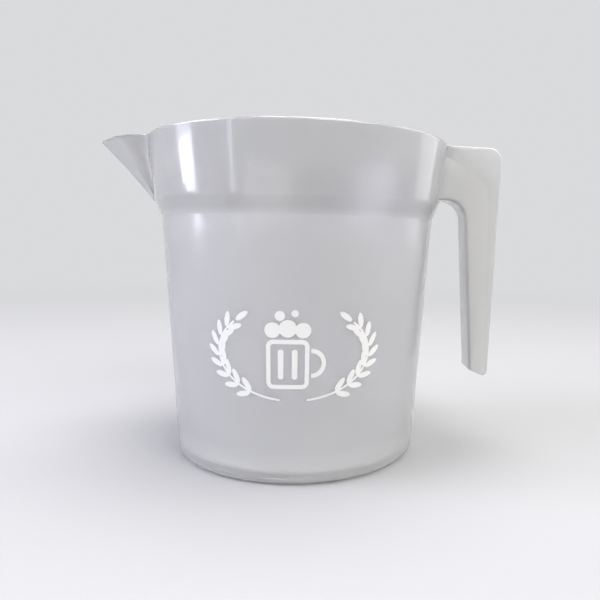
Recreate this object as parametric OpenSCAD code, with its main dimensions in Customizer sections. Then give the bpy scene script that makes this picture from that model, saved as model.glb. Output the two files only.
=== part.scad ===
// Moulded plastic beer pitcher with a beak spout and an open trough handle.
// The cup's axis is Z, the table is z = 0, the handle points to +X and the spout to -X.

/* [Overall] */
// Height from the table to the rim
pitcher_h = 152.2; // [130:0.1:190]
// Outside diameter of the rim
rim_d = 148; // [120:0.5:175]
// Thickness of the moulded wall
wall_t = 2; // [1.5:0.1:2.6]

/* [Cup] */
// How much wider the cup is just under the shoulder than at the table
cup_taper = 15.5; // [8:0.1:22]
// Outside radius of the bottom corner
corner_r = 4.2; // [3.5:0.1:6]
// Inside radius where the wall meets the floor
floor_fillet_r = 3; // [1:0.1:6]
// Thickness of the floor
floor_t = 2.4; // [1.8:0.1:4]
// Height of the foot ring, which lifts the floor off the table
foot_h = 1.5; // [0.8:0.1:2.4]
// Width of the flat face that the foot ring stands on
foot_w = 6; // [4:0.5:10]

/* [Collar] */
// Height of the collar, from the shoulder to the rim
collar_h = 29.2; // [27:0.1:40]
// How much wider the rim is than the collar's lower edge
collar_flare = 7; // [4:0.2:10]
// Height of the sloping shoulder between the cup and the collar
shoulder_h = 7.7; // [6:0.1:9]
// How much wider the collar's lower edge is than the cup under the shoulder
shoulder_step = 6.7; // [5:0.1:8.5]
// Radius that blends the shoulder into the cup and into the collar
shoulder_r = 6; // [3:0.5:8]
// Height of the rounded edge that ends the collar
rim_h = 2.5; // [2:0.1:4]

/* [Spout] */
// Distance from the rim to the point where the beak's two flanks would meet
spout_reach = 27.5; // [22:0.1:31]
// Outside width of the spout between its parallel sides
spout_w = 53; // [44:0.5:58]
// How far the parallel sides run out from the rim before the flanks turn in
spout_side = 7.9; // [7.2:0.1:9]
// Rounding of the tip, seen from above
spout_tip_r = 6.5; // [2:0.5:8]
// Rounding of the bend between side and flank, seen from above
spout_bend_r = 12.5; // [6:0.5:13]
// Fillet where the spout leaves the rim
spout_root_r = 8; // [3:0.5:9]
// Height of the keel's lower end on the shoulder, above the cup
keel_rise = 1.7; // [1.3:0.1:3]

/* [Handle] */
// Distance from the rim to the handle's outer edge
handle_reach = 26.6; // [24:0.1:31]
// Depth of the arm, from the rim down to its underside
arm_depth = 26.3; // [22:0.1:27.5]
// Inside radius of the arch between the arm and the grip
arch_r = 9.8; // [6:0.1:10]
// Rounding of the handle's outer corner, seen from the side
handle_corner_r = 6; // [5:0.5:11]
// Finger room between the cup and the grip, just under the arch
finger_gap_top = 16.5; // [15.5:0.1:18.5]
// Finger room between the cup and the grip, at the handle's free end
finger_gap_end = 26.2; // [24:0.1:29]
// How far the handle hangs down from the rim to its free end
handle_drop = 115.2; // [90:0.1:125]
// How much higher the finger side ends than the outer edge
end_rise = 2.8; // [0:0.1:4]
// Rounding of the outer corner at the free end, seen from the side
end_corner_r = 2.5; // [1:0.1:4]
// How far the outer edge draws in from the corner down to the free end
edge_lean = 3.3; // [2:0.1:4.5]
// Outside width of the trough
trough_w = 17.8; // [15:0.2:19]
// Outside radius along the trough's two floor corners
trough_out_r = 1.4; // [0.6:0.1:3]
// Inside radius along the trough's two floor corners
trough_in_r = 0.8; // [0.4:0.1:2.5]
// Width over the trough's lips at the collar
lip_root_w = 26.6; // [24:0.1:30]
// Fillet where each lip meets the collar, seen from above
lip_root_r = 3; // [1:0.1:4]
// Width over the trough's lips at the outer corner
lip_corner_w = 21.6; // [20:0.1:24]
// Width over the trough's lips at the free end
lip_end_w = 18.2; // [18:0.1:20]
// Depth of the lip at the collar, from the rim down to its fold
fold_drop = 5.2; // [4.5:0.1:8]
// Depth of the lip beside the outer edge, just under the corner
fold_inset = 5.3; // [4.5:0.1:7]
// Slope of the fold as it falls away from the collar, in degrees
fold_slope = 32; // [20:1:40]

/* [Hidden] */
$fn = 160;

milky = [0.80, 0.81, 0.84];
arc_steps = 8;
fold_softness = 6;
fold_limit_share = 0.85;
blend_run_share = 1 / 3;

rim_r = rim_d / 2;
collar_r = rim_r - collar_flare / 2;
cup_r = collar_r - shoulder_step / 2;
base_r = cup_r - cup_taper / 2;
collar_z = pitcher_h - collar_h;
cup_h = collar_z - shoulder_h;
rim_z = pitcher_h - rim_h;
floor_z = foot_h + floor_t;

// The bottom corner is an arc that leaves the table flat and runs tangent into the wall.
wall_lean = atan2(cup_r - base_r, cup_h);
corner_x = base_r + corner_r * tan(wall_lean) - corner_r / cos(wall_lean);
corner_top = corner_r * (1 - sin(wall_lean));
foot_in_r = corner_x - foot_w;

// The fillet inside the cup is an arc between the floor and the inner wall.
fillet_z = floor_z + floor_fillet_r;
fillet_x = cup_wall_r(fillet_z) - wall_t - floor_fillet_r;

// The shoulder's two blends end on these two levels.
shoulder_low = cup_h - shoulder_r * blend_run_share;
shoulder_high = collar_z + shoulder_r * blend_run_share;

// The keel runs from the shoulder to the tip, and the channel lies one wall above it.
spout_half = spout_w / 2;
spout_point_x = rim_r + spout_reach;
keel_z = cup_h + keel_rise;
keel_run = spout_point_x - cup_r;
spout_rise = pitcher_h - keel_z;
channel_lift = wall_t * norm([keel_run, spout_rise]) / keel_run;
keel_power = 1.2;
bend_power = 1.3;
root_power = 1.6;
spout_steps = 6;
channel_levels = [for (i = [0:spout_steps]) lerp(shoulder_high, pitcher_h, i / spout_steps)];

// The handle's side view: x outwards, z up.
top_steps = 4;
root_turns = [0:30:90];
side_steps = 4;
grip_steps = 6;
handle_end_z = pitcher_h - handle_drop;
arm_z = pitcher_h - arm_depth;
edge_x = rim_r + handle_reach;
root_edge_x = rim_r + lip_root_r;
grip_top_x = cup_r + finger_gap_top;
grip_end_x = cup_wall_r(handle_end_z) + finger_gap_end;
arch_centre = [grip_top_x - arch_r, arm_z - arch_r];
corner_centre = [edge_x - handle_corner_r, pitcher_h - handle_corner_r];
fold_start = [rim_r, pitcher_h - fold_drop];
fold_normal = [sin(fold_slope), cos(fold_slope)];
trough_half = trough_w / 2;

function unit(v) = v / norm(v);
function lerp(a, b, k) = a + (b - a) * k;
function flip(list) = [for (i = [len(list) - 1:-1:0]) list[i]];
function shifted(list, step) = [for (p = list) p + step];
function arc(centre, r, from, to) =
    [for (i = [0:arc_steps]) let (a = lerp(from, to, i / arc_steps)) centre + r * [cos(a), sin(a)]];

// Arc of radius r that rounds the corner q between the points p and s.
function rounding(p, q, s, r) =
    let (d1 = unit(p - q), d2 = unit(s - q), half = acos(d1 * d2) / 2)
    let (centre = q + unit(d1 + d2) * r / sin(half), reach = r / tan(half))
    let (v1 = q + d1 * reach - centre, v2 = q + d2 * reach - centre)
    let (from = atan2(v1.y, v1.x), turn = atan2(v1.x * v2.y - v1.y * v2.x, v1 * v2))
    arc(centre, r, from, from + turn);

// A line of points whose inner corners are rounded, each by its own radius.
function rounded_line(points, radii) = [
    points[0],
    for (i = [1:len(points) - 2]) each rounding(points[i - 1], points[i], points[i + 1], radii[i - 1]),
    points[len(points) - 1]
];

// A hollow skin is a row of rings. Each ring of n points is an outer line, then the inner line back again.
// The triangles between neighbouring rings, and those that close one ring from line to line.
// Where the outer line has more points, its first and last ones all meet an end of the inner line.
function ring_skin(steps, n) = [for (i = [0:steps - 1], j = [0:n - 1])
    let (a = i * n + j, b = i * n + (j + 1) % n)
    each [[a, b + n, b], [a, a + n, b + n]]];
function ring_end(first, outer_n, inner_n) =
    let (last = first + outer_n + inner_n - 1, extra = (outer_n - inner_n) / 2)
    let (across = [for (j = [0:outer_n - 1]) last - min(max(j - extra, 0), inner_n - 1)])
    [for (j = [0:outer_n - 2])
        let (a = first + j, d = across[j], c = across[j + 1])
        each concat([[a, a + 1, c]], c == d ? [] : [[a, c, d]])];
function turned(faces) = [for (f = faces) flip(f)];

// Outside radius of the cup's straight wall and of the collar.
function cup_wall_r(z) = lerp(base_r, cup_r, z / cup_h);
function collar_outer_r(z) = lerp(collar_r, rim_r, (z - collar_z) / collar_h);

// Outside of the cup between two levels, with arc points only where the bottom corner is round.
function cup_outside(low, high) = concat(
    low < corner_top
        ? arc([corner_x, corner_r], corner_r, corner_turn(low), corner_turn(high))
        : [[cup_wall_r(low), low]],
    high > corner_top ? [[cup_wall_r(high), high]] : []
);
function corner_turn(z) = z < corner_top ? asin((z - corner_r) / corner_r) : -wall_lean;

// The shoulder's outside, from the cup's wall over the step to the collar.
shoulder_outside = rounded_line(
    [
        [cup_wall_r(shoulder_low), shoulder_low],
        [cup_r, cup_h],
        [collar_r, collar_z],
        [collar_outer_r(shoulder_high), shoulder_high]
    ],
    [shoulder_r, shoulder_r]
);

module foot_ring() {
    color(milky)
    rotate_extrude()
    polygon(concat([[foot_in_r, foot_h], [foot_in_r, 0]], cup_outside(0, foot_h)));
}

module cup_floor() {
    color(milky)
    rotate_extrude()
    polygon(concat([[0, floor_z], [0, foot_h]], cup_outside(foot_h, floor_z)));
}

module cup_wall() {
    inside = [cup_wall_r(shoulder_low) - wall_t, shoulder_low];
    color(milky)
    rotate_extrude()
    polygon(concat(
        cup_outside(floor_z, shoulder_low),
        [inside],
        flip(arc([fillet_x, fillet_z], floor_fillet_r, -90, -wall_lean))
    ));
}

module shoulder() {
    color(milky)
    rotate_extrude()
    polygon(concat(shoulder_outside, flip(shifted(shoulder_outside, [-wall_t, 0]))));
}

module collar() {
    outside = [for (z = [shoulder_high, rim_z]) [collar_outer_r(z), z]];
    color(milky)
    difference() {
        rotate_extrude()
        polygon(concat(outside, flip(shifted(outside, [-wall_t, 0]))));
        spout_mouth();
    }
}

module rim_edge() {
    round_r = wall_t / 2;
    low = [collar_outer_r(rim_z), rim_z];
    top_centre = [collar_outer_r(pitcher_h - round_r) - round_r, pitcher_h - round_r];
    color(milky)
    difference() {
        rotate_extrude()
        polygon(concat([low - [wall_t, 0], low], arc(top_centre, round_r, 0, 180)));
        spout_mouth();
    }
}

// Outside radius of the wall behind the spout, over the shoulder and the collar.
shoulder_table = [for (p = shoulder_outside) [p.y, p.x]];
function outside_r(z) = z < shoulder_high ? lookup(z, shoulder_table) : collar_outer_r(z);

// The beak's plan shrinks with its height: its share s is 0 at the keel's lower end and 1 at the rim.
function beak_share(z) = pow((z - keel_z) / spout_rise, keel_power);
function channel_share(z) = beak_share(z - channel_lift);
function mirrored(points) = flip([for (p = points) [p.x, -p.y]]);

// Plan of the beak at height z and share s, drawn towards +X, from one root over the tip to the other.
function beak_plan(z, s, root) =
    let (bend = [outside_r(z) + spout_side * s, spout_half * s], point = [outside_r(z) + spout_reach * s, 0])
    let (side = concat(root, rounding([0, bend.y], bend, point, spout_bend_r * pow(s, bend_power))))
    concat(side, rounding(bend, point, [bend.x, -bend.y], spout_tip_r * s), mirrored(side));

// The outside's root is a fillet that touches the wall and the beak's side.
function root_r(z) = spout_root_r * pow(beak_share(z), root_power);
function root_centre(z) =
    let (r = root_r(z), y = spout_half * beak_share(z) + r)
    [sqrt(pow(outside_r(z) + r, 2) - pow(y, 2)), y];
function beak_outline(z) =
    let (centre = root_centre(z))
    beak_plan(z, beak_share(z), arc(centre, root_r(z), atan2(-centre.y, -centre.x), -90));

// The channel's sides start straight, at the mouth's edge on the collar's outside.
function mouth_half(z) = spout_half * channel_share(z);
function channel_outline(z) =
    beak_plan(z, channel_share(z), [[sqrt(pow(outside_r(z), 2) - pow(mouth_half(z), 2)), mouth_half(z)]]);

// Below the channel the spout is solid, and its back lies on the wall with as many points as the channel has.
back_n = len(channel_outline(pitcher_h));
function back_line(z) =
    let (edge = atan2(root_centre(z).y, root_centre(z).x))
    [for (i = [1:back_n])
        let (a = lerp(edge, -edge, i / (back_n + 1))) outside_r(z) * [cos(a), sin(a)]];

// The mouth through the wall, as wide at each level as the channel.
module spout_mouth() {
    side = concat(
        [[mouth_half(shoulder_high), shoulder_high - wall_t]],
        [for (z = channel_levels) [mouth_half(z), z]],
        [[mouth_half(pitcher_h), pitcher_h + wall_t]]
    );
    rotate([90, 0, -90])
    linear_extrude(spout_point_x)
    polygon(concat(side, flip([for (p = side) [-p.x, p.y]])));
}

// The beak's skin: rings of outline and back on the shoulder, then of outline and channel up to the rim.
// Its lower end is the point where the keel starts.
module spout() {
    solid_levels = [for (i = [0:2:arc_steps]) shoulder_outside[arc_steps + 2 + i].y];
    levels = concat(solid_levels, channel_levels);
    rings = [for (z = levels)
        let (inner = z < shoulder_high ? back_line(z) : channel_outline(z))
        [for (p = concat(beak_outline(z), flip(inner))) [p.x, p.y, z]]];
    n = len(rings[0]);
    steps = len(rings) - 1;
    toe = len(rings) * n;
    toe_faces = [for (j = [0:n - 1]) [j, (j + 1) % n, toe]];
    top_faces = turned(ring_end(steps * n, n - back_n, back_n));
    points = concat([for (ring = rings) each ring], [[outside_r(keel_z), 0, keel_z]]);
    color(milky)
    rotate([0, 0, 180])
    polyhedron(points, turned(concat(ring_skin(steps, n), top_faces, toe_faces)));
}

// The handle's free edge in side view: along the rim, round the corner, down the grip and round its end.
function edge_x_at(z) =
    edge_x - edge_lean * (corner_centre.y - z) / (corner_centre.y - handle_end_z);
end_centre = [edge_x_at(handle_end_z + end_corner_r) - end_corner_r, handle_end_z + end_corner_r];
free_edge = concat(
    [for (turn = root_turns) [root_edge_x - lip_root_r * cos(turn), pitcher_h]],
    [for (i = [1:top_steps - 1])
        [lerp(root_edge_x, corner_centre.x, i / top_steps), pitcher_h]],
    arc(corner_centre, handle_corner_r, 90, 0),
    [for (i = [1:side_steps])
        let (z = lerp(corner_centre.y, arch_centre.y, i / side_steps)) [edge_x_at(z), z]],
    [for (i = [1:grip_steps - 1])
        let (z = lerp(arch_centre.y, end_centre.y, i / grip_steps)) [edge_x_at(z), z]],
    arc(end_centre, end_corner_r, 0, -90)
);

// The point on the finger side that lies across from a point e of the free edge.
function heel(e) =
    let (k = (arch_centre.y - e.y) / (arch_centre.y - handle_end_z))
    e.x < arch_centre.x ? [e.x, arm_z]
        : k < 0 ? arch_centre + arch_r * unit(e - arch_centre)
        : [lerp(grip_top_x, grip_end_x, k), e.y + end_rise * k];

// How far from the heel f, along u, the side wall folds out into the lip.
// The fold runs straight away from the collar, then straight down beside the outer edge.
function fold_height(f, u) =
    let (slope_part = max(u * fold_normal, 0) / ((fold_start - f) * fold_normal))
    let (side_part = max(u.x, 0) / (edge_x - fold_inset - f.x))
    pow(pow(slope_part, fold_softness) + pow(side_part, fold_softness), -1 / fold_softness);

// Half the width over the lips at a point e of the free edge.
function lip_half(e) =
    let (up = (e.y - handle_end_z) / handle_drop)
    let (back = max(corner_centre.x - e.x, 0) / (corner_centre.x - rim_r))
    let (flare = lip_root_r - sqrt(pow(lip_root_r, 2) - pow(max(root_edge_x - e.x, 0), 2)))
    (lerp(lip_end_w, lip_corner_w, up) + (lip_root_w - lip_corner_w) * back) / 2 + flare;

// Half of the trough's section, from its middle to one lip: width out, height above the heel.
// The inner line lies in by the wall's thickness.
function trough_line(fold, lip, depth, inset, corner) =
    let (lean = atan2(lip - trough_half, depth - fold))
    let (centre = [trough_half - inset - corner, inset + corner])
    concat(
        [[0, inset]],
        arc(centre, corner, -90, 0),
        [
            [trough_half - inset, fold + inset * tan(lean / 2)],
            [lip - inset / cos(lean), depth]
        ]
    );
function both_sides(half) =
    concat([for (i = [len(half) - 1:-1:1]) [-half[i].x, half[i].y]], half);

// One ring of the handle's skin.
function trough_ring(e) =
    let (f = heel(e), u = unit(e - f), depth = norm(e - f))
    let (fold = min(fold_height(f, u), depth * fold_limit_share), lip = lip_half(e))
    let (outer = both_sides(trough_line(fold, lip, depth, 0, trough_out_r)))
    let (inner = both_sides(trough_line(fold, lip, depth, wall_t, trough_in_r)))
    [for (p = concat(outer, flip(inner))) let (at = f + u * p.y) [at.x, p.x, at.y]];
// The first ring lies on the collar.
function onto_collar(ring) =
    [for (p = ring) [sqrt(pow(collar_outer_r(p.z), 2) - pow(p.y, 2)), p.y, p.z]];

module handle() {
    open_rings = [for (e = free_edge) trough_ring(e)];
    rings = [for (i = [0:len(open_rings) - 1]) i == 0 ? onto_collar(open_rings[i]) : open_rings[i]];
    n = len(rings[0]);
    steps = len(rings) - 1;
    ends = concat(ring_end(0, n / 2, n / 2), turned(ring_end(steps * n, n / 2, n / 2)));
    color(milky)
    polyhedron([for (ring = rings) each ring], concat(ring_skin(steps, n), ends));
}

foot_ring();
cup_floor();
cup_wall();
shoulder();
collar();
rim_edge();
spout();
handle();
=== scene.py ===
# %% [markdown]
# # A milky moulded pitcher
# The real pitcher is one injection moulding in natural polypropylene: a tapered cup, a wider collar
# with a folded beak for pouring, and an open trough of a handle. This lesson dresses the measured
# solids of that moulding. The solids hold the true sizes, so they are loaded first and are never
# moved.

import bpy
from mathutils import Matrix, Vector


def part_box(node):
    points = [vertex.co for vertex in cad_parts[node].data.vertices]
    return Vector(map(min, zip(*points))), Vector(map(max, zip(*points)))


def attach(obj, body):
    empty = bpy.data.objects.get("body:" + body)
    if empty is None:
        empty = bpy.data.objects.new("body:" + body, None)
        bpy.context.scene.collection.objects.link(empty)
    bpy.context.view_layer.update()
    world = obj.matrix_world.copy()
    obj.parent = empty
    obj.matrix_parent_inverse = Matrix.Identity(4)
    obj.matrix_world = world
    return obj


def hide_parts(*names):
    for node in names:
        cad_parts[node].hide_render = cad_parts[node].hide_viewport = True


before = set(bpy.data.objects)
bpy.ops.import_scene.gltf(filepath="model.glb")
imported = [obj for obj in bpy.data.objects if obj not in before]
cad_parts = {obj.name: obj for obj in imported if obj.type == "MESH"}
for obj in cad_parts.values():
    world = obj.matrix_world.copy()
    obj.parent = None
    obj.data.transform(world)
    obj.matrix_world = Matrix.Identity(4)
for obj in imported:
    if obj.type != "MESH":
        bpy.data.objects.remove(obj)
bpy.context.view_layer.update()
print("solids:", sorted(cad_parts))

# %% Helpers that every step shares
import math

import bmesh
import bpy
from mathutils import Matrix, Vector

# Lengths are in metres and heights start at the table, as in the solids.
MM = 0.001
# Nearer than this, a point lies on a cutting plane, or two points become one.
ON_PLANE = 1e-7
MERGED = 1e-6
scene = bpy.context.scene
scene.view_settings.view_transform = "Standard"


def lerp(start, end, share):
    return start + (end - start) * share


def add_object(name, bm, skin):
    """Turns a bmesh into a smooth object with one material."""
    for face in bm.faces:
        face.smooth = True
    mesh = bpy.data.meshes.new(name)
    bm.to_mesh(mesh)
    bm.free()
    mesh.materials.append(skin)
    made = bpy.data.objects.new(name, mesh)
    scene.collection.objects.link(made)
    print(name, "has", len(mesh.polygons), "faces")
    return made


def open_edges(bm):
    """How many edges don't have a face on each side. A closed skin has none."""
    return sum(len(edge.link_faces) != 2 for edge in bm.edges)


print("helpers:", [helper.__name__ for helper in (lerp, add_object, open_edges)])

# %% [markdown]
# ## The sizes
# A maker reads the sizes off the drawing. Those that a solid's box gives are taken from the box,
# and the rest are the drawing's own values in millimetres. Radii are outside radii, and heights
# start at the table.

# %% Sizes of the vessel
PITCHER_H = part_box("rim_edge")[1].z
KEEL_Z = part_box("spout")[0].z
FOOT_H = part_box("foot_ring")[1].z
FLOOR_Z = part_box("cup_floor")[1].z
COLLAR_H = 29.2 * MM
COLLAR_Z = PITCHER_H - COLLAR_H
CUP_H = COLLAR_Z - 7.7 * MM
WALL = 2 * MM
RIM_R = 74 * MM
COLLAR_R = 70.5 * MM
CUP_R = 67.15 * MM
BASE_R = 59.4 * MM
FOOT_IN_R = 49.5 * MM
print(f"height {PITCHER_H / MM:.1f} mm, collar from {COLLAR_Z / MM:.1f} mm")


def wall_r(z):
    """Outside radius of the cup, the shoulder or the collar, before their corners are rounded."""
    if z < CUP_H:
        return lerp(BASE_R, CUP_R, z / CUP_H)
    if z < COLLAR_Z:
        return lerp(CUP_R, COLLAR_R, (z - CUP_H) / (COLLAR_Z - CUP_H))
    return lerp(COLLAR_R, RIM_R, (z - COLLAR_Z) / COLLAR_H)


# %% [markdown]
# ## Moulded plastic
# Natural polypropylene is milky: light enters, scatters inside the wall and leaves again, so the
# walls glow softly and show what is behind them only as blurred light and dark. A Principled shader
# gives that with four things together: subsurface scattering for the glow, transmission under a
# slightly rough surface for the blurred see-through, a pale base colour for how much light comes
# back, and a thin smooth coat for the sharp reflections of a polished mould. A scattering volume
# inside the wall would be truer, but it is slow and noisy in a wall this thin. The small changes
# over the surface are shared by the vessel, the handle and the ink, so they are built once as a
# node group: clouds in the colour, faint flow streaks along the mould, and the gentle waviness that
# plastic gets as it cools.

# %% The shared skin of the moulding
def add_node(tree, kind, **values):
    """A new node with some of its sockets set."""
    node = tree.nodes.new(kind)
    for socket, value in values.items():
        node.inputs[socket.replace("_", " ")].default_value = value
    return node


SKIN_SOCKETS = {
    "INPUT": {"Clear": "Color", "Cloudy": "Color", "Smooth": "Float", "Dull": "Float"},
    "OUTPUT": {"Color": "Color", "Roughness": "Float", "Waves": "Float"},
}


def build_moulded_skin():
    """The node group: takes two tones and two roughnesses, gives colour, roughness and relief."""
    group = bpy.data.node_groups.new("moulded_skin", "ShaderNodeTree")
    for way, names in SKIN_SOCKETS.items():
        for name, kind in names.items():
            group.interface.new_socket(name, in_out=way, socket_type="NodeSocket" + kind)
    link = group.links.new
    given = group.nodes.new("NodeGroupInput")
    made = group.nodes.new("NodeGroupOutput")
    place = group.nodes.new("ShaderNodeTexCoord")

    clouds = add_node(group, "ShaderNodeTexNoise", Scale=24.0, Detail=3.0, Roughness=0.5)
    link(place.outputs["Object"], clouds.inputs["Vector"])
    tint = group.nodes.new("ShaderNodeMix")
    tint.data_type = "RGBA"
    link(clouds.outputs["Fac"], tint.inputs["Factor"])
    link(given.outputs["Clear"], tint.inputs["A"])
    link(given.outputs["Cloudy"], tint.inputs["B"])
    link(tint.outputs["Result"], made.inputs["Color"])

    stretch = add_node(group, "ShaderNodeMapping", Scale=(1.0, 1.0, 0.12))
    link(place.outputs["Object"], stretch.inputs["Vector"])
    streaks = add_node(group, "ShaderNodeTexNoise", Scale=130.0, Detail=4.0, Roughness=0.6)
    link(stretch.outputs["Vector"], streaks.inputs["Vector"])
    wear = add_node(group, "ShaderNodeMapRange", From_Min=0.35, From_Max=0.7)
    link(streaks.outputs["Fac"], wear.inputs["Value"])
    link(given.outputs["Smooth"], wear.inputs["To Min"])
    link(given.outputs["Dull"], wear.inputs["To Max"])
    link(wear.outputs["Result"], made.inputs["Roughness"])

    waves = add_node(group, "ShaderNodeTexNoise", Scale=90.0, Detail=1.0, Roughness=0.4)
    link(stretch.outputs["Vector"], waves.inputs["Vector"])
    link(waves.outputs["Fac"], made.inputs["Waves"])
    return group


moulded_skin = build_moulded_skin()
print("moulded_skin:", [socket.name for socket in moulded_skin.interface.items_tree])

# %% The milky plastic
POLYPROPYLENE_IOR = 1.49
WAVE_DEPTH = 0.05 * MM
SCATTER_LENGTH = 2.5 * MM
PLASTIC_ROUGHNESS = (0.17, 0.25)


def shader_of(skin):
    return skin.node_tree.nodes["Principled BSDF"]


def skinned_material(name, tones, roughness):
    """A material whose colour, roughness and relief come from the shared skin."""
    skin = bpy.data.materials.new(name)
    skin.use_nodes = True
    tree = skin.node_tree
    shader = shader_of(skin)
    surface = tree.nodes.new("ShaderNodeGroup")
    surface.node_tree = moulded_skin
    for socket, tone in zip(("Clear", "Cloudy"), tones):
        surface.inputs[socket].default_value = (*tone, 1)
    for socket, level in zip(("Smooth", "Dull"), roughness):
        surface.inputs[socket].default_value = level
    tree.links.new(surface.outputs["Color"], shader.inputs["Base Color"])
    tree.links.new(surface.outputs["Roughness"], shader.inputs["Roughness"])
    relief = add_node(tree, "ShaderNodeBump", Strength=1.0, Distance=WAVE_DEPTH)
    tree.links.new(surface.outputs["Waves"], relief.inputs["Height"])
    tree.links.new(relief.outputs["Normal"], shader.inputs["Normal"])
    return skin


def milky_plastic(name, tones, see_through):
    """Milky polypropylene: partly see-through, with a thin smooth coat."""
    skin = skinned_material(name, tones, PLASTIC_ROUGHNESS)
    settings = {
        "IOR": POLYPROPYLENE_IOR,
        "Transmission Weight": see_through,
        "Subsurface Weight": 1.0,
        "Subsurface Radius": (1.0, 1.0, 1.0),
        "Subsurface Scale": SCATTER_LENGTH,
        "Coat Weight": 0.7,
        "Coat Roughness": 0.06,
        "Coat IOR": POLYPROPYLENE_IOR,
    }
    for socket, value in settings.items():
        shader_of(skin).inputs[socket].default_value = value
    return skin


HANDLE_TONES = (0.77, 0.77, 0.77), (0.835, 0.835, 0.833)
VESSEL_TONES = (0.765, 0.766, 0.783), (0.84, 0.84, 0.854)
vessel_skin = milky_plastic("milky_vessel", VESSEL_TONES, see_through=0.65)
handle_skin = milky_plastic("milky_handle", HANDLE_TONES, see_through=0.42)
print("plastics:", vessel_skin.name, handle_skin.name)

# %% [markdown]
# ## Coat, painted shade and a painted glow by height
# The mould is polished round the collar, so the collar has a stronger coat. Its colour is also
# darkened from the shoulder up, which is painted shade. Near the table the colour is lightened,
# which is a painted glow in the cup's thick bottom corner. Two materials with a border would show
# a line, so one material follows the height over the table.

# %% Coat, painted shade and painted glow by height
CUP_COAT, COLLAR_COAT = 0.35, 1.0
# Painted shade: from the shoulder up over the collar, the colour is multiplied darker.
SHADE_FULL_Z = lerp(CUP_H, COLLAR_Z, 0.4)
PAINTED_SHADE_TONE = (0.88, 0.88, 0.88)
# Painted glow: near the table, in the cup's bottom corner, the colour is lightened.
GLOW_FULL_Z, GLOW_END_Z = 2 * MM, 16 * MM
PAINTED_GLOW_TONE = (0.97, 0.97, 0.975)


def height_ramp(tree, low, high, at_low, at_high):
    """A value that changes with height, from one level to another."""
    place = tree.nodes.new("ShaderNodeTexCoord")
    axes = tree.nodes.new("ShaderNodeSeparateXYZ")
    ramp = add_node(
        tree, "ShaderNodeMapRange", From_Min=low, From_Max=high, To_Min=at_low, To_Max=at_high
    )
    tree.links.new(place.outputs["Object"], axes.inputs["Vector"])
    tree.links.new(axes.outputs["Z"], ramp.inputs["Value"])
    return ramp.outputs["Result"]


def tone_over(skin, share, blend, tone):
    """Blends a tone over the colour that a material has so far."""
    tree = skin.node_tree
    target = shader_of(skin).inputs["Base Color"]
    mix = tree.nodes.new("ShaderNodeMix")
    mix.data_type = "RGBA"
    mix.blend_type = blend
    mix.inputs["B"].default_value = (*tone, 1)
    tree.links.new(share, mix.inputs["Factor"])
    tree.links.new(target.links[0].from_socket, mix.inputs["A"])
    tree.links.new(mix.outputs["Result"], target)


vessel_tree = vessel_skin.node_tree
gloss = height_ramp(vessel_tree, CUP_H, COLLAR_Z, CUP_COAT, COLLAR_COAT)
vessel_tree.links.new(gloss, shader_of(vessel_skin).inputs["Coat Weight"])
# Painted shade: darkens the colour from the shoulder over the collar.
tone_over(vessel_skin, height_ramp(vessel_tree, CUP_H, SHADE_FULL_Z, 0.0, 1.0), "MULTIPLY", PAINTED_SHADE_TONE)
# Painted glow: lightens the colour near the table.
tone_over(vessel_skin, height_ramp(vessel_tree, GLOW_FULL_Z, GLOW_END_Z, 1.0, 0.0), "MIX", PAINTED_GLOW_TONE)
print("the vessel's material has", len(vessel_tree.nodes), "nodes")

# %% [markdown]
# ## The vessel's section
# Cup, shoulder, collar and rim are all round, so one half section turned about the axis makes them.
# The section is drawn the way a turner would mark it out: straight lines between corners, and then
# a vertex bevel rounds each corner. Level cuts give the wall its rows, which keep the shading of
# the long straight walls clean and give the beak something to be drawn from.

# %% Mark out the half section
CORNER_R = 4.2 * MM
FLOOR_FILLET_R = 3 * MM
SHOULDER_R = 6 * MM
SHOULDER_CREASE_R = 2 * MM
RIM_ROUND_R = 0.94 * MM
FOOT_ROUND_R = 0.6 * MM
GATE_R = 2.2 * MM
GATE_DROP = 0.5 * MM
ARC_SEGMENTS = 8

# Each corner of the half section: radius, height and rounding.
section_corners = [
    (0, FOOT_H - GATE_DROP, 0),
    (GATE_R - GATE_DROP, FOOT_H - GATE_DROP, GATE_DROP / 2),
    (GATE_R, FOOT_H, GATE_DROP / 2),
    (FOOT_IN_R, FOOT_H, FOOT_ROUND_R),
    (FOOT_IN_R, 0, FOOT_ROUND_R),
    (BASE_R, 0, CORNER_R),
    (CUP_R, CUP_H, SHOULDER_CREASE_R),
    (COLLAR_R, COLLAR_Z, SHOULDER_R),
    (RIM_R, PITCHER_H, RIM_ROUND_R),
    (RIM_R - WALL, PITCHER_H, RIM_ROUND_R),
    (COLLAR_R - WALL, COLLAR_Z, SHOULDER_R),
    (CUP_R - WALL, CUP_H, SHOULDER_R),
    (wall_r(FLOOR_Z) - WALL, FLOOR_Z, FLOOR_FILLET_R),
    (0, FLOOR_Z, 0),
]


def draw_line(bm, points):
    verts = [bm.verts.new(point) for point in points]
    for pair in zip(verts, verts[1:]):
        bm.edges.new(pair)
    return verts


def round_corner(bm, corner, radius, segments=ARC_SEGMENTS):
    """Bevels one corner of a line. An arc of radius r starts r tan(turn / 2) from the corner."""
    ends = [edge.other_vert(corner).co - corner.co for edge in corner.link_edges]
    turn = math.pi - ends[0].angle(ends[1])
    bmesh.ops.bevel(
        bm, geom=[corner], offset=radius * math.tan(turn / 2), offset_type="OFFSET",
        segments=segments, profile=0.5, affect="VERTICES", material=-1,
    )


vessel = bmesh.new()
corners = draw_line(vessel, [(r, 0, z) for r, z, rounding in section_corners])
for corner, (r, z, rounding) in zip(corners, section_corners):
    if rounding:
        round_corner(vessel, corner, rounding)
print("rounded section:", len(vessel.verts), "points")

# %% Cut the section into rows
ROW_STEP = 3 * MM
BEAK_ROW_STEP = 1.1 * MM
LONG_EDGE = 3 * WALL
FLOOR_CUTS = 8


def level_rows(low, high, step):
    count = round((high - low) / step)
    return [lerp(low, high, i / count) for i in range(count + 1)]


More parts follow.
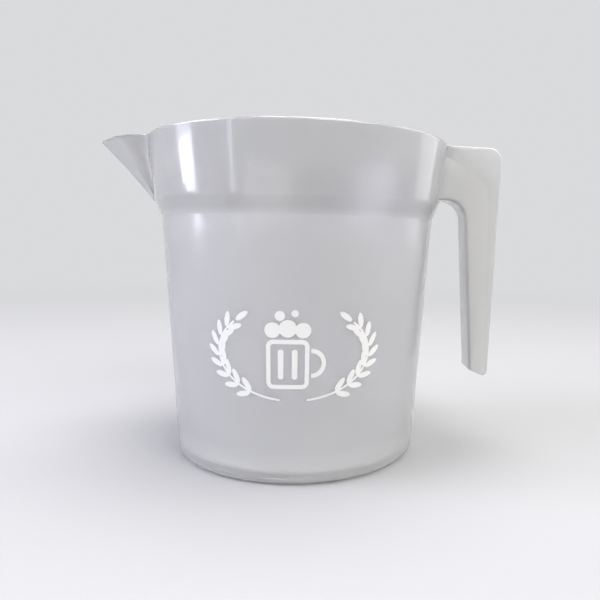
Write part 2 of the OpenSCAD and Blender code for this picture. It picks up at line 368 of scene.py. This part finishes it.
wall_rows = level_rows(CORNER_R + ROW_STEP, CUP_H - SHOULDER_R / 2, ROW_STEP)
beak_rows = level_rows(KEEL_Z, PITCHER_H - 2 * RIM_ROUND_R, BEAK_ROW_STEP)
for z in wall_rows + beak_rows:
    geometry = vessel.verts[:] + vessel.edges[:]
    bmesh.ops.bisect_plane(
        vessel, geom=geometry, dist=ON_PLANE, plane_co=(0, 0, z), plane_no=(0, 0, 1)
    )
flat_edges = [e for e in vessel.edges if abs(e.verts[0].co.z - e.verts[1].co.z) < ON_PLANE]
floor_edges = [e for e in flat_edges if e.calc_length() > LONG_EDGE]
bmesh.ops.subdivide_edges(vessel, edges=floor_edges, cuts=FLOOR_CUTS)
print("section with rows:", len(vessel.verts), "points")

# %% [markdown]
# ## Turning the section
# The section is turned in two spins. The sector that becomes the beak gets narrow steps, because it
# will be stretched, and the rest of the round gets wider ones. Merging the doubles closes the seam
# and the two poles.

# %% Sizes of the beak
SPOUT_HALF = 26.5 * MM
SPOUT_SIDE = 7.9 * MM
SPOUT_REACH = 27.5 * MM
SPOUT_BEND_R = 12.5 * MM
SPOUT_TIP_R = 6.5 * MM
SPOUT_ROOT_R = 8 * MM


def root_centre(half_width, round_r, root_r):
    """Centre of the fillet that touches the round wall and the beak's side, seen from above."""
    y = half_width + root_r
    return Vector((math.sqrt((round_r + root_r) ** 2 - y ** 2), y))


rim_root = root_centre(SPOUT_HALF, RIM_R, SPOUT_ROOT_R)
BEAK_ANGLE = math.atan2(rim_root.y, rim_root.x)
print(f"the beak leaves the rim {math.degrees(BEAK_ANGLE):.1f} degrees to each side")

# %% Spin the vessel
BEAK_STEPS = 72
ROUND_STEPS = 168
to_beak_edge = Matrix.Rotation(math.pi - BEAK_ANGLE, 3, "Z")
bmesh.ops.rotate(vessel, verts=vessel.verts[:], matrix=to_beak_edge)
turning = {"cent": (0, 0, 0), "axis": (0, 0, 1), "dvec": (0, 0, 0), "use_merge": False}
section = vessel.verts[:] + vessel.edges[:]
beak_spin = bmesh.ops.spin(
    vessel, geom=section, angle=2 * BEAK_ANGLE, steps=BEAK_STEPS, **turning
)
bmesh.ops.spin(
    vessel, geom=beak_spin["geom_last"], angle=2 * (math.pi - BEAK_ANGLE),
    steps=ROUND_STEPS, **turning,
)
bmesh.ops.remove_doubles(vessel, verts=vessel.verts[:], dist=MERGED)
bmesh.ops.recalc_face_normals(vessel, faces=vessel.faces[:])
print("turned vessel:", len(vessel.faces), "faces,", open_edges(vessel), "open edges")

# %% [markdown]
# ## Drawing out the beak
# The beak is a folded wedge: seen from above, its outline is the same at every height and only
# shrinks, until it vanishes on the shoulder. So every row above that point is pushed out to the
# outline at its own share of the full size. The share grows a little faster towards the rim, which
# gives the keel its slight hollow. A column keeps its place along the outline from the keel's foot
# to the rim, so the fillet, the bend and the tip run up the beak as clean lines. The inner wall
# follows one wall higher up.

# %% The beak's outline from above
# How much of the columns each stretch of the half outline takes, from the wall to the tip.
OUTLINE_STRETCHES = {"root": 0.2, "side": 0.06, "bend": 0.28, "flank": 0.2, "tip": 0.26}
BEND_POWER = 1.3


def rounded_corner_point(before, corner, after, radius, share):
    """A point on the arc that rounds a corner: share 0 is the arc's start, and 1 is its end."""
    to_before = (before - corner).normalized()
    to_after = (after - corner).normalized()
    half = math.acos(to_before.dot(to_after)) / 2
    centre = corner + (to_before + to_after).normalized() * (radius / math.sin(half))
    start = corner + to_before * (radius / math.tan(half)) - centre
    end = corner + to_after * (radius / math.tan(half)) - centre
    turn = math.atan2(start.cross(end), start.dot(end)) * share
    return centre + Matrix.Rotation(turn, 2) @ start


def outline_point(along, share, outside_r, centre, root_r):
    """A point of the half outline at a share of its size. Along is 0 at the wall, 1 at the tip."""
    half_width = SPOUT_HALF * share
    bend = Vector((outside_r + SPOUT_SIDE * share, half_width))
    tip = Vector((outside_r + SPOUT_REACH * share, 0))
    wall_end = Vector((0, half_width))
    across = Vector((bend.x, -half_width))
    bend_r = SPOUT_BEND_R * share ** BEND_POWER
    tip_r = SPOUT_TIP_R * share
    for stretch, room in OUTLINE_STRETCHES.items():
        part = min(along / room, 1)
        if along <= room or stretch == "tip":
            break
        along -= room
    if stretch == "root":
        turn = lerp(math.atan2(-centre.y, -centre.x), -math.pi / 2, part)
        return centre + root_r * Vector((math.cos(turn), math.sin(turn)))
    if stretch == "side":
        side_start = Vector((centre.x, half_width))
        return lerp(side_start, rounded_corner_point(wall_end, bend, tip, bend_r, 0), part)
    if stretch == "bend":
        return rounded_corner_point(wall_end, bend, tip, bend_r, part)
    if stretch == "flank":
        flank_end = rounded_corner_point(bend, tip, across, tip_r, 0)
        return lerp(rounded_corner_point(wall_end, bend, tip, bend_r, 1), flank_end, part)
    return rounded_corner_point(bend, tip, across, tip_r, part / 2)


rim_tip = outline_point(1, 1, RIM_R, rim_root, SPOUT_ROOT_R)
print(f"tip of the beak at x = {-rim_tip.x / MM:.2f} mm")

# %% Push the wall out to the outline
RELAX_ANGLE = math.radians(62)
RELAX_DROP = 24 * MM
FOOT_SQUEEZE = 0.03
FOOT_SHARE = 0.006
FOOT_GROWTH = 4
KEEL_POWER = 1.2
ROOT_POWER = 1.6
SPOUT_RISE = PITCHER_H - KEEL_Z
keel_run = RIM_R + SPOUT_REACH - CUP_R
CHANNEL_LIFT = WALL * math.hypot(keel_run, SPOUT_RISE) / keel_run


def beak_share(z):
    """How much of its full size the beak's outline has at a height."""
    return max((z - KEEL_Z) / SPOUT_RISE, 0) ** KEEL_POWER


def on_wall(radius, angle, edge_angle):
    """A point that stays on the wall. Columns spread from the beak's edge to the calm part."""
    if angle <= BEAK_ANGLE:
        turned = angle / BEAK_ANGLE * edge_angle
    else:
        relaxed = (angle - BEAK_ANGLE) / (RELAX_ANGLE - BEAK_ANGLE)
        turned = lerp(edge_angle, RELAX_ANGLE, relaxed)
    return Vector((radius * math.cos(turned), radius * math.sin(turned)))


def drawn_out(angle, z, outside_r, depth):
    """Where a point of the wall goes, seen from above with the beak along +X.

    Depth is how far inside the outer skin the point lies."""
    share = beak_share(z - CHANNEL_LIFT * depth / WALL)
    radius = outside_r - depth
    if share < FOOT_SHARE:
        calm = min(max((KEEL_Z - z) / RELAX_DROP, 0), 1)
        eased = calm * calm * (3 - 2 * calm)
        return on_wall(radius, angle, BEAK_ANGLE * lerp(FOOT_SQUEEZE, 1, eased))
    root_r = (SPOUT_ROOT_R * share ** ROOT_POWER + depth) * min(FOOT_GROWTH * share, 1)
    centre = root_centre(SPOUT_HALF * share, radius, root_r)
    if angle > BEAK_ANGLE:
        return on_wall(radius, angle, math.atan2(centre.y, centre.x))
    return outline_point(1 - angle / BEAK_ANGLE, share, outside_r, centre, root_r)


moved = 0
for vert in vessel.verts:
    radius = math.hypot(vert.co.x, vert.co.y)
    angle = math.atan2(abs(vert.co.y), -vert.co.x)
    z = vert.co.z
    if z < KEEL_Z - RELAX_DROP or angle >= RELAX_ANGLE:
        continue
    if z < PITCHER_H - 2 * RIM_ROUND_R:
        depth = WALL if radius < wall_r(z) - WALL / 2 else 0
        place = drawn_out(angle, z, radius + depth, depth)
    else:
        place = drawn_out(angle, z, wall_r(z), wall_r(z) - radius)
    vert.co.x = -place.x
    vert.co.y = math.copysign(place.y, vert.co.y)
    moved += 1
bmesh.ops.recalc_face_normals(vessel, faces=vessel.faces[:])
plastic_cm3 = vessel.calc_volume() / (10 * MM) ** 3
print("drew out", moved, "points; the vessel has", round(plastic_cm3, 1), "cm3 of plastic")

vessel_piece = add_object("pitcher_vessel", vessel, vessel_skin)
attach(vessel_piece, "root")
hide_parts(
    "foot_ring", "cup_floor", "cup_wall", "shoulder", "collar", "rim_edge", "spout"
)

# %% [markdown]
# ## The handle
# The handle is a trough that is open on its top and outer side, so that it leaves the mould in one
# pull. It is drawn as a row of U-shaped sections: each stands on the finger side and ends on the
# free edge, where its lips flare. A section is a closed line with an outer and an inner side, one
# wall apart, and vertex bevels round its corners. Bridging neighbouring sections makes the skin.

# %% Sizes of the handle
EDGE_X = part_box("handle")[1].x
HANDLE_END_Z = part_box("handle")[0].z
ARM_Z = PITCHER_H - 26.3 * MM
ARCH_R = 9.8 * MM
GRIP_TOP_X = CUP_R + 16.5 * MM
GRIP_END_X = wall_r(HANDLE_END_Z) + 26.2 * MM
ARCH = Vector((GRIP_TOP_X - ARCH_R, ARM_Z - ARCH_R))
EDGE_CORNER_R = 6 * MM
EDGE_CORNER = Vector((EDGE_X - EDGE_CORNER_R, PITCHER_H - EDGE_CORNER_R))
EDGE_LEAN = 3.3 * MM
END_CORNER_R = 2.5 * MM
END_RISE = 2.8 * MM
TROUGH_HALF = 8.9 * MM
LIP_ROOT = 13.3 * MM
LIP_CORNER = 10.8 * MM
LIP_END = 9.1 * MM
LIP_ROOT_R = 3 * MM
FOLD_DROP = 5.2 * MM
FOLD_INSET = 5.3 * MM
FOLD_SLOPE = math.radians(32)
FOLD_POWER = 6
print(f"the grip hangs {(PITCHER_H - HANDLE_END_Z) / MM:.1f} mm below the rim")


# %% The free edge and the finger side, seen from the side
def edge_x(z):
    """The free edge leans in towards its lower end."""
    return EDGE_X - EDGE_LEAN * (EDGE_CORNER.y - z) / (EDGE_CORNER.y - HANDLE_END_Z)


def side_arc(centre, radius, start, end, steps):
    """Points of an arc in the side view, between two angles in degrees."""
    turns = [math.radians(lerp(start, end, i / steps)) for i in range(steps + 1)]
    return [centre + radius * Vector((math.cos(turn), math.sin(turn))) for turn in turns]


ROOT_EDGE_X = RIM_R + LIP_ROOT_R
end_z = HANDLE_END_Z + END_CORNER_R
end_centre = Vector((edge_x(end_z) - END_CORNER_R, end_z))
TOP_STEPS = 6
SIDE_STEPS = 22
root_turns = [math.radians(turn) for turn in range(0, 91, 15)]
root_rows = [ROOT_EDGE_X - LIP_ROOT_R * math.cos(turn) for turn in root_turns]
top_rows = [lerp(ROOT_EDGE_X, EDGE_CORNER.x, i / TOP_STEPS) for i in range(1, TOP_STEPS)]
side_rows = [lerp(EDGE_CORNER.y, end_z, i / SIDE_STEPS) for i in range(1, SIDE_STEPS)]
free_edge = [Vector((x, PITCHER_H)) for x in root_rows + top_rows]
free_edge += side_arc(EDGE_CORNER, EDGE_CORNER_R, start=90, end=0, steps=12)
free_edge += [Vector((edge_x(z), z)) for z in side_rows]
free_edge += side_arc(end_centre, END_CORNER_R, start=0, end=-90, steps=6)


def heel_of(edge):
    """The point on the finger side across from a point of the free edge."""
    down = (ARCH.y - edge.y) / (ARCH.y - HANDLE_END_Z)
    if edge.x < ARCH.x:
        return Vector((edge.x, ARM_Z))
    if down < 0:
        return ARCH + ARCH_R * (edge - ARCH).normalized()
    return Vector((lerp(GRIP_TOP_X, GRIP_END_X, down), edge.y + END_RISE * down))


def fold_of(heel, up):
    """How far up from the heel the wall folds out: along a slope, then down beside the edge."""
    normal = Vector((math.sin(FOLD_SLOPE), math.cos(FOLD_SLOPE)))
    fold_start = Vector((RIM_R, PITCHER_H - FOLD_DROP))
    slope = max(up.dot(normal), 0) / (fold_start - heel).dot(normal)
    side = max(up.x, 0) / (EDGE_X - FOLD_INSET - heel.x)
    return (slope ** FOLD_POWER + side ** FOLD_POWER) ** (-1 / FOLD_POWER)


def lip_of(edge):
    """Half the width over the lips at a point of the free edge, with a fillet at the collar."""
    up = (edge.y - HANDLE_END_Z) / (PITCHER_H - HANDLE_END_Z)
    back = max(EDGE_CORNER.x - edge.x, 0) / (EDGE_CORNER.x - RIM_R)
    near = max(ROOT_EDGE_X - edge.x, 0)
    flare = LIP_ROOT_R - math.sqrt(LIP_ROOT_R ** 2 - near ** 2)
    return lerp(LIP_END, LIP_CORNER, up) + (LIP_ROOT - LIP_CORNER) * back + flare


print(len(free_edge), "sections stand on the free edge")

# %% Bridge the sections into a skin
FLOOR_EDGE_R = 1.4 * MM
FLOOR_CORNER_R = 0.8 * MM
LIP_EDGE_R = 0.95 * MM
FOLD_SOFT = 0.4 * MM
FOLD_LIMIT = 0.85
FOLD_ROOM = 0.3
SECTION_SEGMENTS = 5
ROOT_SINK = 0.9 * MM
handle = bmesh.new()


def add_section(edge):
    """One U-shaped section that stands on the finger side across from a point of the free edge."""
    heel = heel_of(edge)
    up, depth = (edge - heel).normalized(), (edge - heel).length
    fold = min(fold_of(heel, up), depth * FOLD_LIMIT)
    lip = lip_of(edge)
    lean = math.atan2(lip - TROUGH_HALF, depth - fold)
    soft = min(FOLD_SOFT, (depth - fold) * FOLD_ROOM)
    # Each corner of the right half: distance from the middle, height over the heel and bevel.
    right = [
        (TROUGH_HALF, 0, FLOOR_EDGE_R),
        (TROUGH_HALF, fold, soft),
        (lip, depth, LIP_EDGE_R),
        (lip - WALL / math.cos(lean), depth, LIP_EDGE_R),
        (TROUGH_HALF - WALL, fold + WALL * math.tan(lean / 2), soft),
        (TROUGH_HALF - WALL, WALL, FLOOR_CORNER_R),
    ]
    shape = right + [(-across, rise, offset) for across, rise, offset in reversed(right)]
    before = set(handle.edges)
    places = [(heel + up * rise, across) for across, rise, offset in shape]
    verts = draw_line(handle, [(p.x, across, p.y) for p, across in places])
    handle.edges.new((verts[-1], verts[0]))
    for corner, (across, rise, offset) in zip(verts, shape):
        bmesh.ops.bevel(
            handle, geom=[corner], offset=offset, offset_type="OFFSET",
            segments=SECTION_SEGMENTS, profile=0.5, affect="VERTICES", material=-1,
        )
    return [e for e in handle.edges if e not in before]


sections = [add_section(edge) for edge in free_edge]
for vert in {v for e in sections[0] for v in e.verts}:
    vert.co.x = math.sqrt(wall_r(vert.co.z) ** 2 - vert.co.y ** 2) - ROOT_SINK
for first, second in zip(sections, sections[1:]):
    bmesh.ops.bridge_loops(handle, edges=first + second)
for end in (sections[0], sections[-1]):
    bmesh.ops.triangle_fill(handle, edges=end, use_beauty=True)
bmesh.ops.recalc_face_normals(handle, faces=handle.faces[:])
print("handle skin:", len(sections), "sections,", open_edges(handle), "open edges")

# %% Soften the free end
END_ROUND_R = 0.6 * MM
handle_piece = add_object("trough_handle", handle, handle_skin)
end_bevel = handle_piece.modifiers.new("soft_edges", "BEVEL")
end_bevel.width = END_ROUND_R
end_bevel.segments = 3
end_bevel.limit_method = "ANGLE"
end_bevel.angle_limit = math.radians(50)
end_bevel.harden_normals = True
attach(handle_piece, "root")
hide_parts("handle")

# %% [markdown]
# ## The print
# The cup carries a screen print in one colour: a thin film of ink with crisp edges. It could be
# painted with a texture, but a film that is modelled keeps its edge at any distance. So flat shapes
# are drawn first, as on the screen's artwork. Then they are cut into narrow columns, so that they
# can bend, wrapped round the cup and given their thickness. The design is a plain one: a mug with
# foam between two ears of barley.

# %% Flat shapes for the print
DISC_SEGMENTS = 28
RING_SEGMENTS = 48
PLATE_SEGMENTS = 6
ink = bmesh.new()


def add_disc(u, v, half_long, half_wide, turn=0.0):
    """A filled ellipse, turned by an angle."""
    size = Matrix.Diagonal((half_long, half_wide, 1, 1))
    place = Matrix.Translation((u, v, 0)) @ Matrix.Rotation(turn, 4, "Z") @ size
    bmesh.ops.create_circle(ink, cap_ends=True, segments=DISC_SEGMENTS, radius=1, matrix=place)


def add_plate(u, v, width, height, corner_r):
    """A filled rectangle with round corners."""
    before = set(ink.faces)
    place = Matrix.Translation((u, v, 0)) @ Matrix.Diagonal((width, height, 1, 1))
    made = bmesh.ops.create_grid(ink, x_segments=1, y_segments=1, size=0.5, matrix=place)
    bmesh.ops.bevel(
        ink, geom=made["verts"], offset=corner_r, offset_type="OFFSET",
        segments=PLATE_SEGMENTS, profile=0.5, affect="VERTICES", material=-1,
    )
    return [face for face in ink.faces if face not in before]


def add_ring(u, v, inner_r, outer_r):
    """A flat ring between two circles. Returns its points, edges and faces."""
    place = Matrix.Translation((u, v, 0))
    verts = []
    for radius in (inner_r, outer_r):
        made = bmesh.ops.create_circle(ink, segments=RING_SEGMENTS, radius=radius, matrix=place)
        verts += made["verts"]
    bmesh.ops.bridge_loops(ink, edges=list({edge for vert in verts for edge in vert.link_edges}))
    edges = list({edge for vert in verts for edge in vert.link_edges})
    return verts + edges + list({face for vert in verts for face in vert.link_faces})


print("shapes to draw with:", [shape.__name__ for shape in (add_disc, add_plate, add_ring)])

# %% The mug
MUG_W, MUG_H = 18 * MM, 21 * MM
MUG_U, MUG_V = -2.4 * MM, -4.5 * MM
MUG_CORNER_R = 3 * MM
LINE_W = 1.9 * MM
BAR_U, BAR_W, BAR_H = 2.9 * MM, 2.4 * MM, MUG_H - 8.4 * MM
BAR_CORNER_R = 1 * MM
GRIP_U, GRIP_V = MUG_U + MUG_W / 2 + 0.8 * MM, MUG_V + 0.5 * MM
GRIP_R = 4.4 * MM
# Each bubble of the foam: place across the mug, height and radius, in millimetres.
FOAM = [(-6.3, 9.9, 3.3), (0, 10.6, 3.7), (6.3, 9.9, 3.3), (-3.2, 15.9, 2.1), (2.9, 16.9, 1.5)]

glass = add_plate(MUG_U, MUG_V, MUG_W, MUG_H, MUG_CORNER_R)
bmesh.ops.inset_individual(ink, faces=glass, thickness=LINE_W, depth=0)
bmesh.ops.delete(ink, geom=glass, context="FACES_ONLY")
for side in (-1, 1):
    add_plate(MUG_U + side * BAR_U, MUG_V, BAR_W, BAR_H, BAR_CORNER_R)
grip = add_ring(GRIP_U, GRIP_V, GRIP_R, GRIP_R + LINE_W)
bmesh.ops.bisect_plane(
    ink, geom=grip, plane_co=(GRIP_U, 0, 0), plane_no=(1, 0, 0), clear_inner=True
)
for across, rise, radius in FOAM:
    add_disc(MUG_U + across * MM, rise * MM, radius * MM, radius * MM)
print("the mug has", len(ink.faces), "flat shapes")

# %% The two ears of barley
EAR_W, EAR_H = 33 * MM, 20 * MM
EAR_START, EAR_END = math.radians(-58), math.radians(40)
STEM_START = math.radians(-80)
STEM_HALF = 0.45 * MM
STEM_STEPS = 24
GRAINS = 9
GRAIN_LEAN = math.radians(32)
GRAIN_LONG, GRAIN_WIDE = 3.3 * MM, 1.25 * MM
GRAIN_REACH = 4.4 * MM


def stem_point(turn, aside=0.0):
    """A point on the stem's curve, or beside it, and the direction that the stem grows in."""
    grows = math.atan2(EAR_H * math.cos(turn), -EAR_W * math.sin(turn))
    beside = Vector((math.sin(grows), -math.cos(grows))) * aside
    return Vector((EAR_W * math.cos(turn), EAR_H * math.sin(turn))) + beside, grows


def add_ear(side):
    """One ear: side is 1 on the right and -1 on the left."""
    rails = []
    turns = [lerp(STEM_START, EAR_END, i / STEM_STEPS) for i in range(STEM_STEPS + 1)]
    for aside in (-STEM_HALF, STEM_HALF):
        points = [stem_point(turn, aside)[0] for turn in turns]
        rails += draw_line(ink, [(side * p.x, p.y, 0) for p in points])
    bmesh.ops.bridge_loops(ink, edges=list({edge for vert in rails for edge in vert.link_edges}))
    for i in range(GRAINS):
        spot, grows = stem_point(lerp(EAR_START, EAR_END, i / (GRAINS - 1)))
        leans = (-GRAIN_LEAN, GRAIN_LEAN) if i < GRAINS - 1 else (0,)
        for lean in leans:
            heading = Vector((math.cos(grows + lean), math.sin(grows + lean)))
            middle = spot + heading * GRAIN_REACH
            turn = math.atan2(heading.y, side * heading.x)
            add_disc(side * middle.x, middle.y, GRAIN_LONG, GRAIN_WIDE, turn)


add_ear(1)
add_ear(-1)
print("the flat print has", len(ink.faces), "shapes")

# %% Wrap the print round the cup
PRINT_Z = 58 * MM
PRINT_TURN = math.radians(0.9)
PRINT_HALF = 44 * MM
COLUMN_W = 2.2 * MM
SLIVER = 0.02 * MM
INK_SINK = 0.02 * MM
INK_T = 0.07 * MM
INK_CREASE = 1.0
INK_TONES = (0.95, 0.95, 0.95), (0.98, 0.98, 0.975)
INK_ROUGHNESS = (0.4, 0.6)
columns = round(2 * PRINT_HALF / COLUMN_W)
for i in range(columns + 1):
    geometry = ink.verts[:] + ink.edges[:] + ink.faces[:]
    cut = (lerp(-PRINT_HALF, PRINT_HALF, i / columns), 0, 0)
    bmesh.ops.bisect_plane(ink, geom=geometry, dist=ON_PLANE, plane_co=cut, plane_no=(1, 0, 0))
bmesh.ops.dissolve_degenerate(ink, dist=SLIVER, edges=ink.edges[:])
for vert in ink.verts:
    z = PRINT_Z + vert.co.y
    turn = PRINT_TURN + vert.co.x / wall_r(PRINT_Z)
    radius = wall_r(z) - INK_SINK
    vert.co = (radius * math.sin(turn), -radius * math.cos(turn), z)
ink.normal_update()
inward = [face for face in ink.faces if face.normal.dot(face.calc_center_median()) < 0]
bmesh.ops.reverse_faces(ink, faces=inward)
bmesh.ops.solidify(ink, geom=ink.faces[:], thickness=-INK_T)
bmesh.ops.recalc_face_normals(ink, faces=ink.faces[:])
for edge in ink.edges:
    edge.smooth = edge.calc_face_angle(math.pi) < INK_CREASE
reach = max(math.hypot(v.co.x, v.co.y) - wall_r(v.co.z) for v in ink.verts)
print("ink film:", open_edges(ink), "open edges, stands out", round(reach / MM, 3), "mm")

ink_skin = skinned_material("white_screen_ink", INK_TONES, INK_ROUGHNESS)
print_piece = add_object("screen_print", ink, ink_skin)
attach(print_piece, "root")

# %% [markdown]
# ## The camera
# The camera stands where the photographer stood: a little to the right of the cup's axis, just
# under the rim and close to the pitcher, so the rim bows upwards and the base bows down. Its place
# and lens were fitted to those two bows, and the lens is shifted because the photo is cropped off
# centre.

# %% The camera
EYE = Vector((13.1, -300.2, 106.0)) * MM
YAW, PITCH, ROLL = (math.radians(angle) for angle in (-2.09, -4.076, 1.024))
camera_data = bpy.data.cameras.new("camera")
camera_data.sensor_width = 36
camera_data.lens = 34.867
camera_data.shift_x = -0.0753
camera_data.shift_y = -0.0341
camera_data.clip_start = 10 * MM
camera = bpy.data.objects.new("camera", camera_data)
level = Matrix.Rotation(math.pi / 2 + PITCH, 4, "X")
aim = Matrix.Rotation(YAW, 4, "Z") @ level @ Matrix.Rotation(ROLL, 4, "Z")
camera.matrix_world = Matrix.Translation(EYE) @ aim
scene.collection.objects.link(camera)
scene.camera = camera
print("camera at", [round(c / MM) for c in EYE], "mm")

# %% [markdown]
# ## The surround and the floor
# A milky pitcher shows what is round it, so the surround is plain: one pale tone that a pale floor
# fades into. What the camera sees of both, also in a reflection or through the plastic, is set
# apart from the light that they give, with the Light Path node. That keeps the ground pale and the
# light from below soft.

# %% The surround
PALE = (0.70, 0.705, 0.715)
AMBIENT = 0.42
AMBIENT_TINT = (1.0, 0.99, 0.97)


def seen_directly(tree):
    """1 for rays that see the ground: from the camera, in a reflection or through plastic."""
    path = tree.nodes.new("ShaderNodeLightPath")
    total = path.outputs["Is Camera Ray"]
    for kind in ("Is Glossy Ray", "Is Transmission Ray"):
        add = tree.nodes.new("ShaderNodeMath")
        add.operation = "MAXIMUM"
        tree.links.new(total, add.inputs[0])
        tree.links.new(path.outputs[kind], add.inputs[1])
        total = add.outputs["Value"]
    return total


world = bpy.data.worlds.new("studio")
scene.world = world
world.use_nodes = True
air = world.node_tree
lit = air.nodes["Background"]
lit.inputs["Color"].default_value = (*AMBIENT_TINT, 1)
lit.inputs["Strength"].default_value = AMBIENT
shown = add_node(air, "ShaderNodeBackground", Color=(*PALE, 1), Strength=1.0)
either = air.nodes.new("ShaderNodeMixShader")
air.links.new(seen_directly(air), either.inputs["Fac"])
air.links.new(lit.outputs["Background"], either.inputs[1])
air.links.new(shown.outputs["Background"], either.inputs[2])
air.links.new(either.outputs["Shader"], air.nodes["World Output"].inputs["Surface"])
print("surround:", world.name)

# %% The floor
FLOOR_R = 4.0
FLOOR_SEEN = (0.47, 0.47, 0.48)
FLOOR_BOUNCE = (0.24, 0.24, 0.24)
FAR_BOUNCE = 0.25
FADE_START, FADE_END = 0.12, 1.1

table = bmesh.new()
bmesh.ops.create_circle(table, cap_ends=True, segments=96, radius=FLOOR_R)
floor_skin = bpy.data.materials.new("pale_floor")
floor_skin.use_nodes = True
ground = floor_skin.node_tree
matte = shader_of(floor_skin)
matte.inputs["Roughness"].default_value = 0.9
matte.inputs["Specular IOR Level"].default_value = 0.1
shade = ground.nodes.new("ShaderNodeMix")
shade.data_type = "RGBA"
shade.inputs["A"].default_value = (*FLOOR_BOUNCE, 1)
shade.inputs["B"].default_value = (*FLOOR_SEEN, 1)
ground.links.new(seen_directly(ground), shade.inputs["Factor"])
ground.links.new(shade.outputs["Result"], matte.inputs["Base Color"])

# Far out, the floor turns into the surround's tone.
far = add_node(ground, "ShaderNodeEmission", Color=(*PALE, 1))
glow = add_node(ground, "ShaderNodeMapRange", To_Min=FAR_BOUNCE, To_Max=1.0)
ground.links.new(seen_directly(ground), glow.inputs["Value"])
ground.links.new(glow.outputs["Result"], far.inputs["Strength"])
place = ground.nodes.new("ShaderNodeTexCoord")
distance = ground.nodes.new("ShaderNodeVectorMath")
distance.operation = "LENGTH"
fade = add_node(ground, "ShaderNodeMapRange", From_Min=FADE_START, From_Max=FADE_END)
fade.interpolation_type = "SMOOTHSTEP"
blend = ground.nodes.new("ShaderNodeMixShader")
ground.links.new(place.outputs["Object"], distance.inputs[0])
ground.links.new(distance.outputs["Value"], fade.inputs["Value"])
ground.links.new(fade.outputs["Result"], blend.inputs["Fac"])
ground.links.new(matte.outputs["BSDF"], blend.inputs[1])
ground.links.new(far.outputs["Emission"], blend.inputs[2])
ground.links.new(blend.outputs["Shader"], ground.nodes["Material Output"].inputs["Surface"])
floor = add_object("floor", table, floor_skin)
print("floor of radius", FLOOR_R, "m")

# %% [markdown]
# ## The lights
# The light is a room's. A tall window on the left throws the sharp bright bar on the polished
# collar: its sill is level with the table, its foot is narrower, and its upper part is dimmer. A
# gap beside it makes the thin second bar, and a far window brightens the collar's right end. Large
# soft walls in front and at both sides light the plastic, too high to be seen in its reflections,
# and the ceiling lights the inside of the cup.

# %% The lights
DAYLIGHT = (0.83, 0.85, 1.0)
WARM = (1.0, 0.98, 0.95)
CEILING_SIZE = 1.0
CEILING_POWER = 20.0
CEILING_PLACE = (0.1, 0.1, 1.6)


def add_lamp(name, lamp, place):
    """Hangs a lamp that the camera doesn't see."""
    hung = bpy.data.objects.new(name, lamp)
    hung.matrix_world = place
    hung.visible_camera = False
    scene.collection.objects.link(hung)


def add_panel(name, azimuth, distance, low, high, width, radiance, tint):
    """An upright panel that faces the pitcher. Azimuth 0 is the camera's side, -90 the left."""
    lamp = bpy.data.lights.new(name, "AREA")
    lamp.shape = "RECTANGLE"
    lamp.size, lamp.size_y = width, high - low
    lamp.energy = radiance * math.pi * width * (high - low)
    lamp.color = tint
    turn = math.radians(azimuth)
    out = Vector((math.sin(turn), -math.cos(turn), 0))
    facing = (-out).to_track_quat("-Z", "Y").to_matrix().to_4x4()
    middle = out * distance + Vector((0, 0, (low + high) / 2))
    add_lamp(name, lamp, Matrix.Translation(middle) @ facing)


# Azimuth in degrees, distance, lower and upper edge and width in metres, then radiance and tint.
add_panel("window_foot", -83, 1.2, 0.02, 0.06, 0.2, 7.2, DAYLIGHT)
add_panel("window", -85, 1.2, 0.06, 0.155, 0.29, 7.2, DAYLIGHT)
add_panel("window_top", -85, 1.2, 0.155, 1.2, 0.29, 2.0, DAYLIGHT)
add_panel("window_gap", -45.5, 0.8, 0.015, 0.9, 0.045, 2.5, DAYLIGHT)
add_panel("far_window", 112, 1.2, 0.02, 1.4, 0.5, 0.9, WARM)
add_panel("front_wall", 35, 1.3, 0.5, 1.7, 1.2, 4.5, WARM)
add_panel("left_wall", -78, 1.3, 0.35, 1.55, 1.0, 5.2, DAYLIGHT)
add_panel("right_wall", 95, 1.3, 0.35, 1.55, 1.0, 1.5, WARM)
ceiling = bpy.data.lights.new("ceiling", "AREA")
ceiling.size = CEILING_SIZE
ceiling.energy = CEILING_POWER
add_lamp("ceiling", ceiling, Matrix.Translation(CEILING_PLACE))
